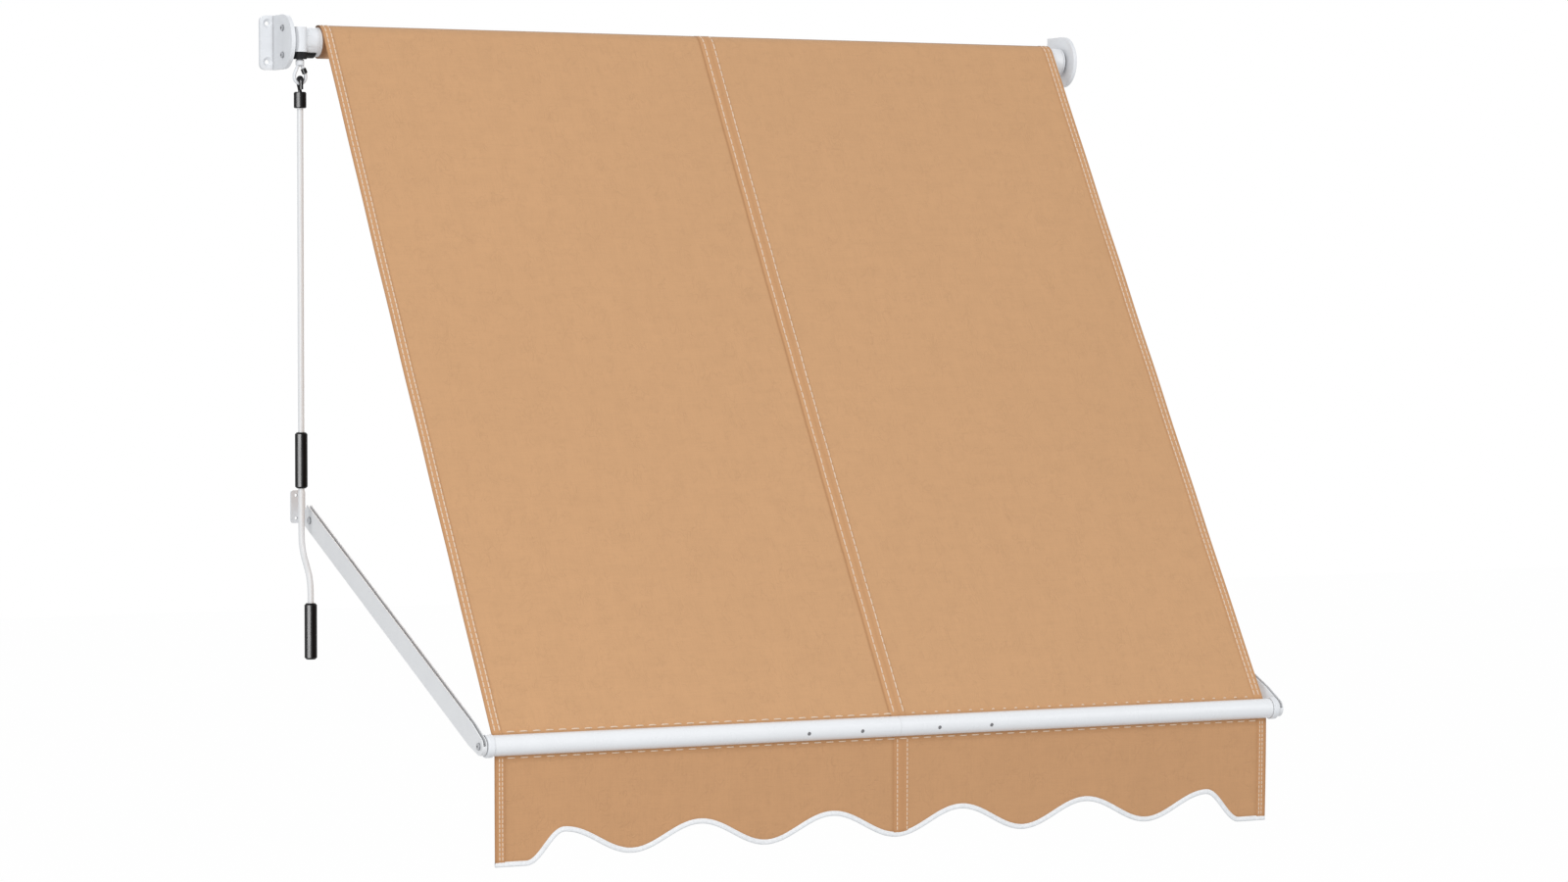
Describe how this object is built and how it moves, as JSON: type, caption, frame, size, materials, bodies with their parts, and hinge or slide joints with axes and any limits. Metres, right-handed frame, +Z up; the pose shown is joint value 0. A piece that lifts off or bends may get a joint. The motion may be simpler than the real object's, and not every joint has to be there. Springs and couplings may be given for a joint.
{
  "type": "window awning",
  "caption": "Drop-arm window awning with a crank-driven cloth roller, a sloping canopy, a round front bar and a scalloped valance with white edging.",
  "frame": {"origin": "on the wall plane, midway between the cloth's edges, at the height of the roller's axis", "axes": "+X along the roller away from the gearbox, -Y out of the wall, +Z up"},
  "size_m": [1.3275, 0.6758, 1.1539],
  "materials": {
    "white_paint": "gloss white powder coat",
    "white_cast": "white coated casting",
    "black_plastic": "satin black",
    "black_steel": "black coated wire",
    "zinc_steel": "zinc plated",
    "aluminium": "mill finish",
    "brass_gear": "cut brass",
    "tan_cloth": "coated polyester canvas",
    "white_edging": "woven binding",
    "cord": "smooth plastic cord"
  },
  "bodies": {
    "wall_frame": {"gear_bracket": "white_cast", "idle_bracket": "white_cast", "gear_housing": "white_cast", "gear_cover": "black_plastic", "gearbox_screw_upper": "zinc_steel", "gearbox_screw_lower": "zinc_steel", "idle_bush": "white_cast", "arm_bracket_left": "white_cast", "arm_bracket_right": "white_cast", "arm_pin_left": "zinc_steel", "arm_pin_right": "zinc_steel"},
    "roller": {"roller_tube": "white_paint", "roller_cord": "cord", "cloth_roll": "tan_cloth", "roller_plug_drive": "white_cast", "roller_plug_idle": "white_cast", "worm_wheel": "brass_gear"},
    "crank": {"worm_shaft": "zinc_steel", "winding_eye": "white_cast", "eye_sleeve": "black_plastic", "crank_hook": "black_steel", "crank_coupler": "black_plastic", "crank_rod": "white_paint"},
    "upper_grip": {"upper_grip": "black_plastic"},
    "lower_grip": {"lower_grip": "black_plastic"},
    "arm_left": {"arm_left": "white_paint"},
    "arm_right": {"arm_right": "white_paint"},
    "front_bar": {"bar_half_left": "white_paint", "bar_half_right": "white_paint", "bar_sleeve": "aluminium", "bar_screw_left_1": "zinc_steel", "bar_screw_left_2": "zinc_steel", "bar_screw_right_1": "zinc_steel", "bar_screw_right_2": "zinc_steel", "bar_cap_left": "white_cast", "bar_cap_right": "white_cast", "bar_bolt_left": "zinc_steel", "bar_bolt_right": "zinc_steel", "canopy_cord": "cord", "valance_cord": "cord", "valance": "tan_cloth", "valance_edging": "white_edging"},
    "canopy": {"canopy": "tan_cloth"}
  },
  "joints": [
    {"name": "arm_fold_left", "type": "hinge", "parent": "wall_frame", "child": "arm_left", "pos_m": [-0.6186, -0.035, -0.685], "axis": [-1, 0, 0], "range_deg": [0, 106]},
    {"name": "arm_fold_right", "type": "hinge", "parent": "wall_frame", "child": "arm_right", "pos_m": [0.6186, -0.035, -0.685], "axis": [-1, 0, 0], "range_deg": [0, 106]},
    {"name": "bar_pivot", "type": "hinge", "parent": "arm_left", "child": "front_bar", "pos_m": [-0.6186, -0.66014, -0.9541], "axis": [-1, 0, 0], "range_deg": [-106, 0]},
    {"name": "canopy_swing", "type": "hinge", "parent": "wall_frame", "child": "canopy", "pos_m": [0, -0.045, 0], "axis": [-1, 0, 0], "range_deg": [0, 32.27], "deforming": ["canopy"]},
    {"name": "crank_turn", "type": "hinge", "parent": "wall_frame", "child": "crank", "pos_m": [-0.645, -0.063, 0], "axis": [0, 0, 1], "continuous": true},
    {"name": "roller_spin", "type": "hinge", "parent": "wall_frame", "child": "roller", "pos_m": [0, -0.045, 0], "axis": [1, 0, 0], "continuous": true},
    {"name": "upper_grip_spin", "type": "hinge", "parent": "crank", "child": "upper_grip", "pos_m": [-0.645, -0.063, -0.597], "axis": [0, 0, 1], "continuous": true},
    {"name": "lower_grip_spin", "type": "hinge", "parent": "crank", "child": "lower_grip", "pos_m": [-0.645, -0.099, -0.839], "axis": [0, 0, 1], "continuous": true}
  ],
  "couplings": [
    {"joint": "arm_fold_right", "follows": "arm_fold_left", "ratio": 1},
    {"joint": "bar_pivot", "follows": "arm_fold_left", "ratio": -1},
    {"joint": "canopy_swing", "follows": "arm_fold_left", "ratio": 0.30438},
    {"joint": "roller_spin", "follows": "crank_turn", "ratio": 0.076923}
  ]
}
